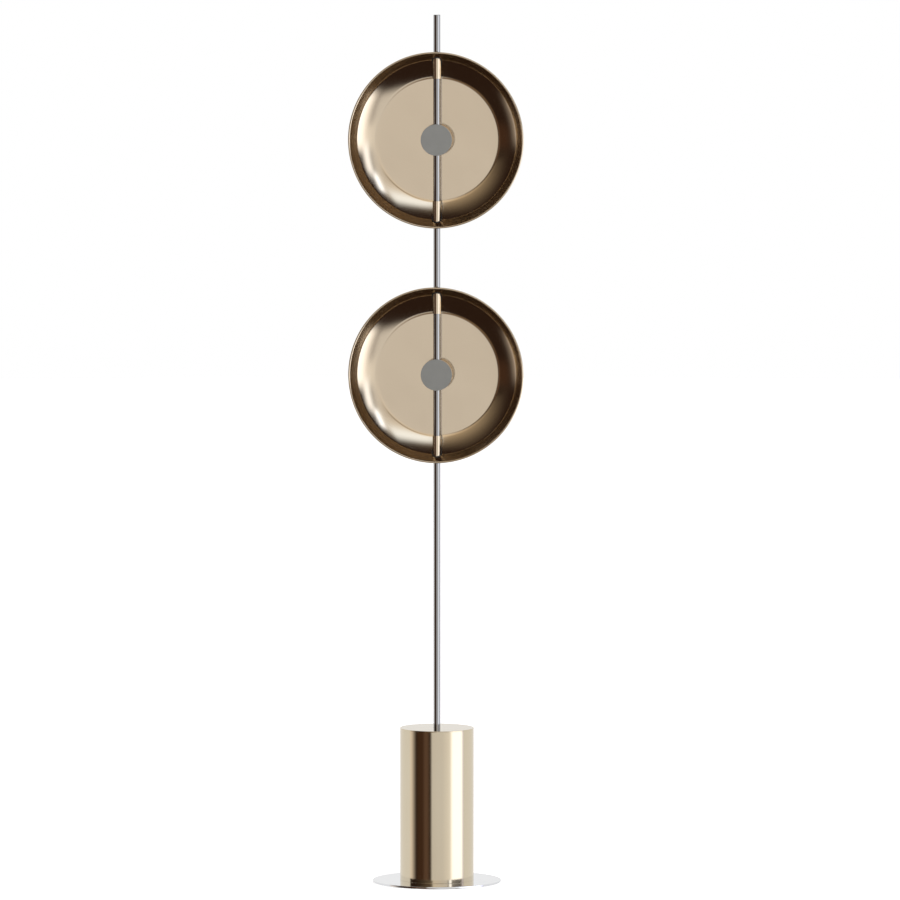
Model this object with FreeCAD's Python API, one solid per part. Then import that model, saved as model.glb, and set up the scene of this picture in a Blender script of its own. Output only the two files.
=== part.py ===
import FreeCAD, Part
import math
import os

# Pole floor lamp: two spun dish heads that turn on a slim pole, over a weighted canister base.
# Millimetres, +Z up, the dishes open towards -Y, the pole's axis is the Z axis, z = 0 is the floor.

# ---------------------------------------------------------------- driving dimensions
TOTAL_H = 1778.0
POLE_ABOVE_DISH = 75.0
GAP_BETWEEN_DISHES = 120.0
TURN_LIMIT_DEG = 165.0
HALF_TURN_DEG = 180.0

# foot disc and canister
PAD_R = 126.0
PAD_T = 1.0
PLATE_R = 131.5
PLATE_T = 4.0
EDGE_BREAK = 0.4
CAN_R = 75.5
CAN_WALL = 1.5
CAN_TOP = 318.0
LID_T = 2.0
LID_SPIGOT_H = 5.0
LID_SPIGOT_WALL = 3.0
RING_H = 8.0
RING_W = 13.0
WEIGHT_GAP = 2.5
WEIGHT_SCREW_IN = 18.0
WEIGHT_H = 70.0
CORD_SLOT_W = 14.0
CORD_SLOT_DEPTH = 10.0

# pole
POLE_R = 7.0
POLE_WALL = 1.5
JOINER_WALL = 1.4
JOINER_L = 36.0
CAP_T = 2.0
CAP_PLUG_L = 10.0
CABLE_R = 2.2
CABLE_ENTRY_Z = 225.0
CABLE_ENTRY_R = 3.0
LEAD_R = 1.6
SOCKET_FLANGE_R = 30.0
SOCKET_FLANGE_T = 6.0
SOCKET_TUBE_R = 12.0
SOCKET_TUBE_H = 50.0
SOCKET_SEAT = 3.0

# dish, in a profile of radius and depth (depth grows away from the viewer), tilts measured from its floor
RIM_R = 180.0
BEAD_R = 2.2
RIM_FRONT = -24.5
BOTTOM_IN = 17.0
DISH_T = 1.5
FLOOR_BEND_R = 20.0
SLOPE_START_DEG = 21.0
SLOPE_R = 168.0
SLOPE_END_DEG = 33.0
CREASE_R = 11.0
WALL_DEG = 56.5

# round light head in the middle of the dish
COVER_R = 32.0
COVER_T = 1.5
PUCK_FRONT = -12.0
HOUSING_R = 31.2
HOUSING_WALL = 1.7
HOUSING_REAR = 13.7
BULKHEAD_FRONT = 9.6
BULKHEAD_T = 1.2
HUB_W = 26.0
HUB_H = 26.0
HUB_CORNER = 3.0
BOARD_T = 1.0
BOARD_R_IN = 13.6
BOARD_R_OUT = 28.0
LED_COUNT = 12
LED_SIZE = (3.0, 0.6, 2.8)
LED_PCR = 21.0
DIFFUSER_T = 1.0
DIFFUSER_SKIRT = 1.1
PILLAR_R = 3.5
PILLAR_X = 21.0
POST_FLANGE_R = 13.0
POST_FLANGE_T = 1.6
POST_R = 7.0
STUD_R = 4.0
STUD_BEYOND = 6.0
POST_SCREW_PCR = 10.1
WASHER_R = 9.0
WASHER_T = 1.0
NUT_FLATS = 13.0
NUT_H = 6.0

# collars on the pole, inside the light head
COLLAR_R = 9.2
COLLAR_H = 8.0
THRUST_T = 1.0
TAB_R_IN = 7.6
TAB_H = 3.0
TAB_HALF_DEG = 6.0
EXIT_Z = 25.0
EXIT_R = 1.8
LOOP_R = 8.6
LOOP_WIRE_R = 0.8
LOOP_SPAN_DEG = 300.0

# grommets where the pole goes through the dish's wall
BUSH_R = 8.6
BUSH_LIP_R = 10.4
BUSH_LIP_T = 1.0

# cord inlet
GLAND_Z = 30.0
GLAND_BORE_R = 3.6
GLAND_BODY_R = 6.0
GLAND_LIP_R = 9.5
GLAND_LIP_T = 3.5
GLAND_INSIDE = 14.0
GLAND_NUT_R = 10.0
GLAND_NUT_T = 4.0

# fasteners
M5_R = 2.5
M5_HEAD_R = 5.0
M5_HEAD_T = 2.8
M4_R = 2.0
M4_HEAD_R = 4.0
M4_HEAD_T = 2.4
M4_LENGTH = 12.0
M3_R = 1.5
M3_HEAD_R = 2.9
M3_LENGTH = 8.0
M25_R = 1.25
M25_HEAD_R = 2.2
M25_HEAD_T = 2.4
M25_LENGTH = 7.0

# clearances
RUN = 0.05
SEAT = 0.02
FIT = 0.05
FREE = 0.3
HOLE = 0.6

# ---------------------------------------------------------------- values that follow
PLATE_TOP = PAD_T + PLATE_T
LID_BOTTOM = CAN_TOP - LID_T
CAN_IN_R = CAN_R - CAN_WALL
WEIGHT_TOP = PLATE_TOP + WEIGHT_H
POLE_IN_R = POLE_R - POLE_WALL
POLE_FOOT = WEIGHT_TOP + SOCKET_SEAT
POLE_TOP = TOTAL_H - CAP_T
DISH_BENDS = (
    (FLOOR_BEND_R, 0.0, SLOPE_START_DEG),
    (SLOPE_R, SLOPE_START_DEG, SLOPE_END_DEG),
    (CREASE_R, SLOPE_END_DEG, WALL_DEG),
)
COVER_BACK = PUCK_FRONT + COVER_T
BULKHEAD_REAR = BULKHEAD_FRONT + BULKHEAD_T
HOUSING_IN_R = HOUSING_R - HOUSING_WALL
BOTTOM_OUT = BOTTOM_IN + DISH_T
HUB_BOTTOM = -HUB_H / 2
HUB_TOP = HUB_H / 2
WEIGHT_R = CAN_IN_R - RING_W - WEIGHT_GAP
GLAND_INNER_Y = CAN_IN_R - GLAND_INSIDE
HEAD_Z = {"lower": TOTAL_H - POLE_ABOVE_DISH - 3 * RIM_R - GAP_BETWEEN_DISHES}
HEAD_Z["upper"] = TOTAL_H - POLE_ABOVE_DISH - RIM_R
RING_SCREW_R = CAN_IN_R - RING_W / 2
WEIGHT_SCREW_R = WEIGHT_R - WEIGHT_SCREW_IN

X = FreeCAD.Vector(1, 0, 0)
Y = FreeCAD.Vector(0, 1, 0)
Z = FreeCAD.Vector(0, 0, 1)


def vec(x, y, z):
    return FreeCAD.Vector(x, y, z)


def cyl(radius, start, end):
    """Cylinder between two points."""
    axis = end - start
    return Part.makeCylinder(radius, axis.Length, start, axis)


def tube(outer, inner, start, end):
    return cyl(outer, start, end).cut(cyl(inner, start, end))


def cone(radius_1, radius_2, start, end):
    axis = end - start
    return Part.makeCone(radius_1, radius_2, axis.Length, start, axis)


def box(x0, x1, y0, y1, z0, z1):
    return Part.makeBox(x1 - x0, y1 - y0, z1 - z0, vec(x0, y0, z0))


def fuse(solids):
    result = solids[0]
    for solid in solids[1:]:
        result = result.fuse(solid)
    return result.removeSplitter()


def spin_about_y(edges):
    """Solid of revolution about the Y axis from edges in the X (radius) and Y (depth) plane."""
    face = Part.Face(Part.Wire(Part.__sortEdges__(edges)))
    solid = face.revolve(vec(0, 0, 0), Y, 360)
    return Part.Solid(solid) if solid.ShapeType == "Shell" else solid


def spin_about_z(points):
    """Solid of revolution about the Z axis from (radius, height) points."""
    corners = [vec(r, 0, z) for r, z in points]
    face = Part.Face(Part.makePolygon(corners + corners[:1]))
    return face.revolve(vec(0, 0, 0), Z, 360)


def on_circle(count, radius, first_deg=0.0):
    turns = [math.radians(first_deg + 360.0 * i / count) for i in range(count)]
    return [(radius * math.cos(t), radius * math.sin(t)) for t in turns]


def tube_path(points, bend_r, tube_r):
    """Round lead along straight runs joined by tangent arcs."""
    edges = []
    last = points[0]
    for before, corner, after in zip(points, points[1:], points[2:]):
        to_before = (before - corner).normalize()
        to_after = (after - corner).normalize()
        half = to_before.getAngle(to_after) / 2
        setback = bend_r / math.tan(half)
        start = corner + to_before * setback
        end = corner + to_after * setback
        bisector = (to_before + to_after).normalize()
        centre = corner + bisector * (bend_r / math.sin(half))
        middle = centre - bisector * bend_r
        edges.append(Part.LineSegment(last, start).toShape())
        edges.append(Part.Arc(start, middle, end).toShape())
        last = end
    edges.append(Part.LineSegment(last, points[-1]).toShape())
    path = Part.Wire(edges)
    circle = Part.Circle(points[0], points[1] - points[0], tube_r).toShape()
    return path.makePipeShell([Part.Wire([circle])], True, False)


# ---------------------------------------------------------------- foot disc and canister
def foot_pad():
    return cyl(PAD_R, vec(0, 0, 0), vec(0, 0, PAD_T))


def plate_screw_places():
    ring = on_circle(4, RING_SCREW_R, 45)
    weight = on_circle(4, WEIGHT_SCREW_R, 0)
    return ring + weight


def plate_screw(x, y):
    low = PAD_T
    shank = cyl(M5_R, vec(x, y, low), vec(x, y, PLATE_TOP + RING_H))
    head = cone(M5_HEAD_R, M5_R, vec(x, y, low), vec(x, y, low + M5_HEAD_T))
    socket = cyl(M5_R * 0.6, vec(x, y, low), vec(x, y, low + 1.6))
    return shank.fuse(head).cut(socket)


def plate_screws():
    return Part.makeCompound([plate_screw(x, y) for x, y in plate_screw_places()])


def base_plate():
    rim = PLATE_R - EDGE_BREAK
    plate = spin_about_z([
        (0, PAD_T),
        (rim, PAD_T),
        (PLATE_R, PAD_T + EDGE_BREAK),
        (PLATE_R, PLATE_TOP - EDGE_BREAK),
        (rim, PLATE_TOP),
        (0, PLATE_TOP),
    ])
    for x, y in plate_screw_places():
        plate = plate.cut(cyl(M5_R + FIT, vec(x, y, 0), vec(x, y, PLATE_TOP + 1)))
        sink_top = vec(x, y, PAD_T + M5_HEAD_T + FIT)
        plate = plate.cut(cone(M5_HEAD_R + FIT, M5_R + FIT, vec(x, y, PAD_T), sink_top))
    return plate


def mount_ring():
    ring = tube(CAN_IN_R - SEAT, CAN_IN_R - RING_W, vec(0, 0, PLATE_TOP), vec(0, 0, PLATE_TOP + RING_H))
    for x, y in on_circle(4, RING_SCREW_R, 45):
        ring = ring.cut(cyl(M5_R + SEAT, vec(x, y, PLATE_TOP - 1), vec(x, y, PLATE_TOP + RING_H + 1)))
    return ring


def counterweight():
    block = cyl(WEIGHT_R, vec(0, 0, PLATE_TOP), vec(0, 0, WEIGHT_TOP))
    half = CORD_SLOT_W / 2
    block = block.cut(box(-half, half, WEIGHT_R - CORD_SLOT_DEPTH, WEIGHT_R + 1, 0, WEIGHT_TOP + 1))
    for x, y in on_circle(4, WEIGHT_SCREW_R, 0):
        block = block.cut(cyl(M5_R + SEAT, vec(x, y, PLATE_TOP - 1), vec(x, y, PLATE_TOP + RING_H + 2)))
    for place, inward in pan_screw_places():
        if inward.z < 0:
            tip = place + inward * (M4_LENGTH + 2)
            block = block.cut(cyl(M4_R + SEAT, place, tip))
    return block


def canister_shell():
    shell = tube(CAN_R, CAN_IN_R, vec(0, 0, PLATE_TOP), vec(0, 0, LID_BOTTOM))
    hole = cyl(GLAND_BODY_R + FIT, vec(0, GLAND_INNER_Y, GLAND_Z), vec(0, CAN_R + GLAND_LIP_T, GLAND_Z))
    return shell.cut(hole)


def canister_lid():
    edge = CAN_R - EDGE_BREAK
    spigot_out = CAN_IN_R - FIT
    spigot_in = spigot_out - LID_SPIGOT_WALL
    hole = POLE_R + FREE
    return spin_about_z([
        (hole, LID_BOTTOM),
        (spigot_in, LID_BOTTOM),
        (spigot_in, LID_BOTTOM - LID_SPIGOT_H),
        (spigot_out, LID_BOTTOM - LID_SPIGOT_H),
        (spigot_out, LID_BOTTOM),
        (CAN_R, LID_BOTTOM),
        (CAN_R, CAN_TOP - EDGE_BREAK),
        (edge, CAN_TOP),
        (hole, CAN_TOP),
    ])


# ---------------------------------------------------------------- inside the canister
DRIVER_BOX = (-57.0, -35.0, -28.0, 28.0, 82.0, 202.0)
BRACKET_T = 2.0
BRACKET_FOOT_X = -56.0
BRACKET_HALF_Y = 20.0
BRACKET_TOP = 196.0
BRACKET_SCREW_Y = 13.0
DRIVER_SCREW_IN = 22.0
BLOCK_BOX = (36.0, 54.0, -16.0, 16.0)
BLOCK_H = 16.0
SOCKET_SCREW_R = 21.0
EARTH_XY = (18.0, 42.0)
EARTH_H = 12.0
SOCKET_GRUB_IN = 13.0
SOCKET_GRUB_Z = (WEIGHT_TOP + SOCKET_FLANGE_T + SOCKET_GRUB_IN,
                 WEIGHT_TOP + SOCKET_FLANGE_T + SOCKET_TUBE_H - SOCKET_GRUB_IN)


def pan_screw_places():
    """Seat of each pan-head screw and the direction that it goes in."""
    top = WEIGHT_TOP
    down = vec(0, 0, -1)
    places = [(vec(x, y, top + SOCKET_FLANGE_T), down) for x, y in on_circle(3, SOCKET_SCREW_R, 90)]
    foot_x = (BRACKET_FOOT_X + DRIVER_BOX[1]) / 2
    places += [(vec(foot_x, y, top + BRACKET_T), down) for y in (-BRACKET_SCREW_Y, BRACKET_SCREW_Y)]
    wall_x = DRIVER_BOX[1] + BRACKET_T
    levels = (DRIVER_BOX[4] + DRIVER_SCREW_IN, DRIVER_BOX[5] - DRIVER_SCREW_IN)
    places += [(vec(wall_x, 0, z), vec(-1, 0, 0)) for z in levels]
    return places


def pan_screw(place, inward):
    shank = cyl(M4_R, place, place + inward * M4_LENGTH)
    head = cyl(M4_HEAD_R, place - inward * M4_HEAD_T, place)
    recess = cyl(M4_R * 0.7, place - inward * M4_HEAD_T, place - inward * M4_HEAD_T * 0.4)
    return shank.fuse(head).cut(recess)


def pan_screws():
    return Part.makeCompound([pan_screw(place, inward) for place, inward in pan_screw_places()])


def pole_socket():
    low = WEIGHT_TOP
    tube_top = low + SOCKET_FLANGE_T + SOCKET_TUBE_H
    bore = POLE_R + SEAT
    body = spin_about_z([
        (0, low),
        (SOCKET_FLANGE_R, low),
        (SOCKET_FLANGE_R, low + SOCKET_FLANGE_T),
        (SOCKET_TUBE_R, low + SOCKET_FLANGE_T),
        (SOCKET_TUBE_R, tube_top),
        (bore, tube_top),
        (bore, POLE_FOOT),
        (0, POLE_FOOT),
    ])
    for x, y in on_circle(3, SOCKET_SCREW_R, 90):
        body = body.cut(cyl(M4_R + FIT, vec(x, y, low - 1), vec(x, y, low + SOCKET_FLANGE_T + 1)))
    for z in SOCKET_GRUB_Z:
        body = body.cut(cyl(M4_R + SEAT, vec(0, 0, z), vec(SOCKET_TUBE_R + 1, 0, z)))
    return body


def socket_grub_screws():
    screws = []
    for z in SOCKET_GRUB_Z:
        screw = cyl(M4_R, vec(POLE_R + SEAT, 0, z), vec(SOCKET_TUBE_R, 0, z))
        screws.append(screw.cut(cyl(M4_R * 0.5, vec(SOCKET_TUBE_R - 2, 0, z), vec(SOCKET_TUBE_R, 0, z))))
    return Part.makeCompound(screws)


def driver_bracket():
    inner = DRIVER_BOX[1]
    foot = box(BRACKET_FOOT_X, inner + BRACKET_T, -BRACKET_HALF_Y, BRACKET_HALF_Y,
               WEIGHT_TOP, WEIGHT_TOP + BRACKET_T)
    upright = box(inner, inner + BRACKET_T, -BRACKET_HALF_Y, BRACKET_HALF_Y, WEIGHT_TOP, BRACKET_TOP)
    bracket = foot.fuse(upright)
    for place, inward in pan_screw_places()[3:]:
        bracket = bracket.cut(cyl(M4_R + FIT, place - inward, place + inward * 4))
    return bracket.removeSplitter()


def led_driver():
    x0, x1, y0, y1, z0, z1 = DRIVER_BOX
    body = box(x0, x1, y0, y1, z0, z1)
    upright = [e for e in body.Edges if abs(e.tangentAt(e.FirstParameter).z) > 0.9]
    body = body.makeFillet(2.0, upright)
    for place, inward in pan_screw_places()[5:]:
        body = body.cut(cyl(M4_R + SEAT, place, place + inward * (M4_LENGTH + 1)))
    return body


def terminal_block():
    x0, x1, y0, y1 = BLOCK_BOX
    block = box(x0, x1, y0, y1, WEIGHT_TOP, WEIGHT_TOP + BLOCK_H)
    for y in (-10.0, 0.0, 10.0):
        top = WEIGHT_TOP + BLOCK_H
        middle = (x0 + x1) / 2
        block = block.cut(cyl(2.6, vec(middle, y, top - 6), vec(middle, y, top + 1)))
        block = block.cut(cyl(2.2, vec(x0 - 1, y, WEIGHT_TOP + 6), vec(x0 + 5, y, WEIGHT_TOP + 6)))
        block = block.cut(cyl(2.2, vec(x1 - 5, y, WEIGHT_TOP + 6), vec(x1 + 1, y, WEIGHT_TOP + 6)))
    return block


def earth_stud():
    x, y = EARTH_XY
    stud = cyl(M4_R, vec(x, y, WEIGHT_TOP), vec(x, y, WEIGHT_TOP + EARTH_H))
    nut = hexagon(7.0, 3.2, vec(x, y, WEIGHT_TOP + 1))
    return stud.fuse(nut).removeSplitter()


def hexagon(flats, height, place):
    """Six-sided prism that stands along Z."""
    radius = flats / math.sqrt(3)
    corners = [place + vec(x, y, 0) for x, y in on_circle(6, radius)]
    return Part.Face(Part.makePolygon(corners + corners[:1])).extrude(vec(0, 0, height))


def driver_lead():
    x = (DRIVER_BOX[0] + DRIVER_BOX[1]) / 2
    points = [vec(x, 0, DRIVER_BOX[5]), vec(x, 0, CABLE_ENTRY_Z), vec(-CABLE_R - FIT, 0, CABLE_ENTRY_Z)]
    return tube_path(points, 12.0, LEAD_R)


def mains_lead():
    x_from = (BLOCK_BOX[0] + BLOCK_BOX[1]) / 2
    x_to = (DRIVER_BOX[0] + DRIVER_BOX[1]) / 2
    y = 13.0
    high = CABLE_ENTRY_Z + 15
    points = [vec(x_from, y, WEIGHT_TOP + BLOCK_H), vec(x_from, y, high), vec(x_to, y, high),
              vec(x_to, y, DRIVER_BOX[5])]
    return tube_path(points, 16.0, LEAD_R)


def cable_gland():
    lip_y = CAN_R + GLAND_LIP_T
    body = cyl(GLAND_BODY_R, vec(0, GLAND_INNER_Y, GLAND_Z), vec(0, CAN_R, GLAND_Z))
    lip = cyl(GLAND_LIP_R, vec(0, CAN_IN_R, GLAND_Z), vec(0, lip_y, GLAND_Z))
    lip = lip.cut(cyl(CAN_R + SEAT, vec(0, 0, 0), vec(0, 0, CAN_TOP)))
    gland = body.fuse(lip)
    return gland.cut(cyl(GLAND_BORE_R, vec(0, GLAND_INNER_Y - 1, GLAND_Z), vec(0, lip_y + 1, GLAND_Z)))


def gland_nut():
    flat = math.sqrt(CAN_IN_R ** 2 - GLAND_NUT_R ** 2) - SEAT
    start = vec(0, flat - GLAND_NUT_T, GLAND_Z)
    return tube(GLAND_NUT_R, GLAND_BODY_R + SEAT, start, vec(0, flat, GLAND_Z))


# ---------------------------------------------------------------- pole
def pole_tube(low, high):
    return tube(POLE_R, POLE_IN_R, vec(0, 0, low), vec(0, 0, high))


def exit_hole(head):
    z = HEAD_Z[head] + EXIT_Z
    return cyl(EXIT_R, vec(0, 0, z), vec(0, POLE_R + 1, z))


def pole_lower():
    body = pole_tube(POLE_FOOT, HEAD_Z["lower"])
    entry = cyl(CABLE_ENTRY_R, vec(0, 0, CABLE_ENTRY_Z), vec(-POLE_R - 1, 0, CABLE_ENTRY_Z))
    return body.cut(entry)


def pole_middle():
    return pole_tube(HEAD_Z["lower"], HEAD_Z["upper"]).cut(exit_hole("lower"))


def pole_upper():
    return pole_tube(HEAD_Z["upper"], POLE_TOP).cut(exit_hole("upper"))


def pole_joiners():
    outer = POLE_IN_R - SEAT
    sleeves = []
    for z in HEAD_Z.values():
        ends = vec(0, 0, z - JOINER_L / 2), vec(0, 0, z + JOINER_L / 2)
        sleeves.append(tube(outer, outer - JOINER_WALL, *ends))
    return Part.makeCompound(sleeves)


def pole_cap():
    plug = POLE_IN_R - SEAT
    return spin_about_z([
        (0, POLE_TOP - CAP_PLUG_L),
        (plug, POLE_TOP - CAP_PLUG_L),
        (plug, POLE_TOP),
        (POLE_R, POLE_TOP),
        (POLE_R, TOTAL_H - EDGE_BREAK),
        (POLE_R - EDGE_BREAK, TOTAL_H),
        (0, TOTAL_H),
    ])


def pole_cable():
    top = HEAD_Z["upper"] + EXIT_Z
    return cyl(CABLE_R, vec(0, 0, CABLE_ENTRY_Z - LEAD_R), vec(0, 0, top + LEAD_R))


def sector(outer, inner, centre_deg, half_deg, low, high):
    """Part of a ring about the Z axis."""
    start = centre_deg - half_deg
    solid = Part.makeCylinder(outer, high - low, vec(0, 0, low), Z, 2 * half_deg)
    solid.rotate(vec(0, 0, 0), Z, start)
    return solid.cut(cyl(inner, vec(0, 0, low - 1), vec(0, 0, high + 1)))


def collar_grub(z, outward):
    return cyl(M3_R, outward * (POLE_R + SEAT) + vec(0, 0, z), outward * COLLAR_R + vec(0, 0, z))


def collar_grub_places():
    places = []
    for z in HEAD_Z.values():
        for level in (HUB_BOTTOM - THRUST_T - COLLAR_H / 2, HUB_TOP + FREE + COLLAR_H / 2):
            places += [(z + level, X), (z + level, X * -1)]
    return places


def collar_grub_screws():
    return Part.makeCompound([collar_grub(z, outward) for z, outward in collar_grub_places()])


def collar(low):
    ring = tube(COLLAR_R, POLE_R + SEAT, vec(0, 0, low), vec(0, 0, low + COLLAR_H))
    middle = low + COLLAR_H / 2
    return ring.cut(cyl(M3_R + SEAT, vec(-COLLAR_R - 1, 0, middle), vec(COLLAR_R + 1, 0, middle)))


def collar_support(head):
    return collar(HEAD_Z[head] + HUB_BOTTOM - THRUST_T - COLLAR_H)


def collar_stop(head):
    low = HEAD_Z[head] + HUB_TOP + FREE
    tab = sector(COLLAR_R, TAB_R_IN, 90, TAB_HALF_DEG, low - TAB_H, low + 1)
    return collar(low).fuse(tab).removeSplitter()


def thrust_washers():
    washers = []
    for z in HEAD_Z.values():
        high = z + HUB_BOTTOM
        washers.append(tube(COLLAR_R, POLE_R + FIT, vec(0, 0, high - THRUST_T), vec(0, 0, high)))
    return Part.makeCompound(washers)


# ---------------------------------------------------------------- head, about its own centre
def outward(deg):
    """Way that the back of the dish faces, in radius and depth, where its tilt is deg."""
    return vec(math.sin(math.radians(deg)), math.cos(math.radians(deg)), 0)


def wall_end():
    """Where the wall's inner line ends inside the bead."""
    bead = vec(RIM_R - BEAD_R, RIM_FRONT + BEAD_R, 0)
    return bead - outward(WALL_DEG) * (DISH_T / 2)


def floor_edge():
    """Radius where the flat floor ends, so that the bends and the straight wall reach the rim."""
    end = wall_end()
    depth = BOTTOM_IN - end.y
    reach = 0.0
    for radius, start_deg, end_deg in DISH_BENDS:
        swing = (outward(end_deg) - outward(start_deg)) * radius
        reach += swing.x
        depth += swing.y
    return end.x - reach - depth / math.tan(math.radians(WALL_DEG))


def dish_side(offset, hub_r):
    """Edges of the dish's surface, moved outwards by offset, with their ends in the middle and at the rim."""
    inner = vec(floor_edge(), BOTTOM_IN, 0)
    first = vec(hub_r, BOTTOM_IN + offset, 0)
    last = inner + Y * offset
    edges = [Part.LineSegment(first, last).toShape()]
    for radius, start_deg, end_deg in DISH_BENDS:
        centre = inner - outward(start_deg) * radius
        middle = centre + outward((start_deg + end_deg) / 2) * (radius + offset)
        end = centre + outward(end_deg) * (radius + offset)
        edges.append(Part.Arc(last, middle, end).toShape())
        inner = centre + outward(end_deg) * radius
        last = end
    rim = wall_end() + outward(WALL_DEG) * offset
    edges.append(Part.LineSegment(last, rim).toShape())
    return edges, first, rim


def dish_band(offset_in, offset_out, hub_r):
    """Solid between two offsets of the dish's surface."""
    front, front_hub, front_rim = dish_side(offset_in, hub_r)
    back, back_hub, back_rim = dish_side(offset_out, hub_r)
    ends = [Part.LineSegment(front_hub, back_hub).toShape(), Part.LineSegment(front_rim, back_rim).toShape()]
    return spin_about_y(front + back + ends)


def dish():
    bead = Part.makeTorus(RIM_R - BEAD_R, BEAD_R, vec(0, RIM_FRONT + BEAD_R, 0), Y)
    shell = dish_band(0, DISH_T, STUD_R + FREE).fuse(bead)
    hole = cyl(BUSH_R + SEAT, vec(0, 0, -RIM_R), vec(0, 0, RIM_R))
    return shell.cut(hole).removeSplitter()


def wall_bushes():
    middle = RIM_R / 2
    whole = dish_band(-BUSH_LIP_T, DISH_T + BUSH_LIP_T, middle)
    inside = dish_band(-BUSH_LIP_T, -FIT, middle)
    outside = dish_band(DISH_T + FIT, DISH_T + BUSH_LIP_T, middle)
    bore = cyl(POLE_R + RUN, vec(0, 0, -RIM_R), vec(0, 0, RIM_R))
    bushes = []
    for side in (1, -1):
        start = vec(0, 0, side * middle)
        end = vec(0, 0, side * RIM_R)
        sleeve = whole.common(cyl(BUSH_R, start, end))
        lip_in = inside.common(cyl(BUSH_LIP_R, start, end))
        lip_out = outside.common(cyl(BUSH_LIP_R, start, end))
        bushes.append(sleeve.fuse(lip_in).fuse(lip_out).cut(bore).removeSplitter())
    return Part.makeCompound(bushes)


def hub_block():
    half = HUB_W / 2
    front = COVER_BACK + 0.1
    block = box(-half, half, front, BULKHEAD_FRONT, HUB_BOTTOM, HUB_TOP)
    upright = [e for e in block.Edges if abs(e.tangentAt(e.FirstParameter).z) > 0.9]
    block = block.makeFillet(HUB_CORNER, upright)
    block = block.cut(cyl(POLE_R + RUN, vec(0, 0, HUB_BOTTOM - 1), vec(0, 0, HUB_TOP + 1)))
    stop_gap = math.degrees(FREE / ((TAB_R_IN + COLLAR_R) / 2))
    groove_half = TURN_LIMIT_DEG + TAB_HALF_DEG + stop_gap
    groove = sector(COLLAR_R + FREE, POLE_R, 90, groove_half, HUB_TOP - TAB_H, HUB_TOP + 1)
    block = block.cut(groove)
    for x, z in post_screw_places():
        tip = BULKHEAD_REAR + POST_FLANGE_T - M25_LENGTH - FIT
        block = block.cut(cyl(M25_R + SEAT, vec(x, BULKHEAD_FRONT + 1, z), vec(x, tip, z)))
    return block


def puck_housing():
    inner = HOUSING_IN_R
    body = cyl(HOUSING_R, vec(0, COVER_BACK, 0), vec(0, HOUSING_REAR, 0))
    body = body.cut(cyl(inner, vec(0, COVER_BACK - 1, 0), vec(0, BULKHEAD_FRONT, 0)))
    body = body.cut(cyl(inner, vec(0, BULKHEAD_REAR, 0), vec(0, HOUSING_REAR + 1, 0)))
    body = body.cut(cyl(POLE_R + HOLE, vec(0, 0, -HOUSING_R), vec(0, 0, HOUSING_R)))
    for x, z in post_screw_places():
        body = body.cut(cyl(M25_R + FIT, vec(x, 0, z), vec(x, HOUSING_REAR, z)))
    for x in (-PILLAR_X, PILLAR_X):
        body = body.cut(cyl(M3_R + FIT, vec(x, 0, 0), vec(x, HOUSING_REAR, 0)))
        sink = vec(x, BULKHEAD_FRONT, 0), vec(x, BULKHEAD_REAR, 0)
        body = body.cut(cone(M3_R + FIT, M3_HEAD_R + FIT, *sink))
    return body.cut(cyl(LOOP_WIRE_R + FREE, vec(LOOP_R, 0, EXIT_Z), vec(LOOP_R, HOUSING_REAR, EXIT_Z)))


def front_cover():
    back = vec(0, COVER_BACK, 0)
    plate = cyl(COVER_R, vec(0, PUCK_FRONT + EDGE_BREAK, 0), back)
    nose = cone(COVER_R - EDGE_BREAK, COVER_R, vec(0, PUCK_FRONT, 0), vec(0, PUCK_FRONT + EDGE_BREAK, 0))
    lip_end = vec(0, COVER_BACK + 2.5, 0)
    lip = tube(HOUSING_IN_R - FIT, HOUSING_IN_R - 1.5, back, lip_end)
    lip = lip.cut(cyl(POLE_R + HOLE, vec(0, 0, -COVER_R), vec(0, 0, COVER_R)))
    return plate.fuse(nose).fuse(lip).removeSplitter()


def cover_pillars():
    pillars = []
    for x in (-PILLAR_X, PILLAR_X):
        pillar = cyl(PILLAR_R, vec(x, COVER_BACK, 0), vec(x, BULKHEAD_FRONT, 0))
        tapped = cyl(M3_R + SEAT, vec(x, BULKHEAD_REAR - M3_LENGTH - 1, 0), vec(x, BULKHEAD_FRONT, 0))
        pillars.append(pillar.cut(tapped))
    return Part.makeCompound(pillars)


def cover_screws():
    screws = []
    for x in (-PILLAR_X, PILLAR_X):
        shank = cyl(M3_R, vec(x, BULKHEAD_REAR - M3_LENGTH, 0), vec(x, BULKHEAD_REAR, 0))
        head = cone(M3_R, M3_HEAD_R, vec(x, BULKHEAD_FRONT, 0), vec(x, BULKHEAD_REAR, 0))
        recess = cyl(M3_R * 0.6, vec(x, BULKHEAD_REAR - 1, 0), vec(x, BULKHEAD_REAR, 0))
        screws.append(shank.fuse(head).cut(recess).removeSplitter())
    return Part.makeCompound(screws)


def led_board():
    return tube(BOARD_R_OUT, BOARD_R_IN, vec(0, BULKHEAD_REAR, 0), vec(0, BULKHEAD_REAR + BOARD_T, 0))


def leds():
    front = BULKHEAD_REAR + BOARD_T
    chips = []
    for i in range(LED_COUNT):
        chip = Part.makeBox(*LED_SIZE, vec(-LED_SIZE[0] / 2, front, LED_PCR - LED_SIZE[2] / 2))
        chip.rotate(vec(0, 0, 0), Y, 360.0 * i / LED_COUNT)
        chips.append(chip)
    return Part.makeCompound(chips)


def diffuser():
    rear = HOUSING_REAR
    outer = HOUSING_IN_R - FIT
    plate = tube(outer, BOARD_R_IN, vec(0, rear - DIFFUSER_T, 0), vec(0, rear, 0))
    skirt = tube(outer, outer - DIFFUSER_SKIRT, vec(0, BULKHEAD_REAR, 0), vec(0, rear, 0))
    return plate.fuse(skirt).removeSplitter()


def post_screw_places():
    return on_circle(4, POST_SCREW_PCR, 45)


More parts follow.
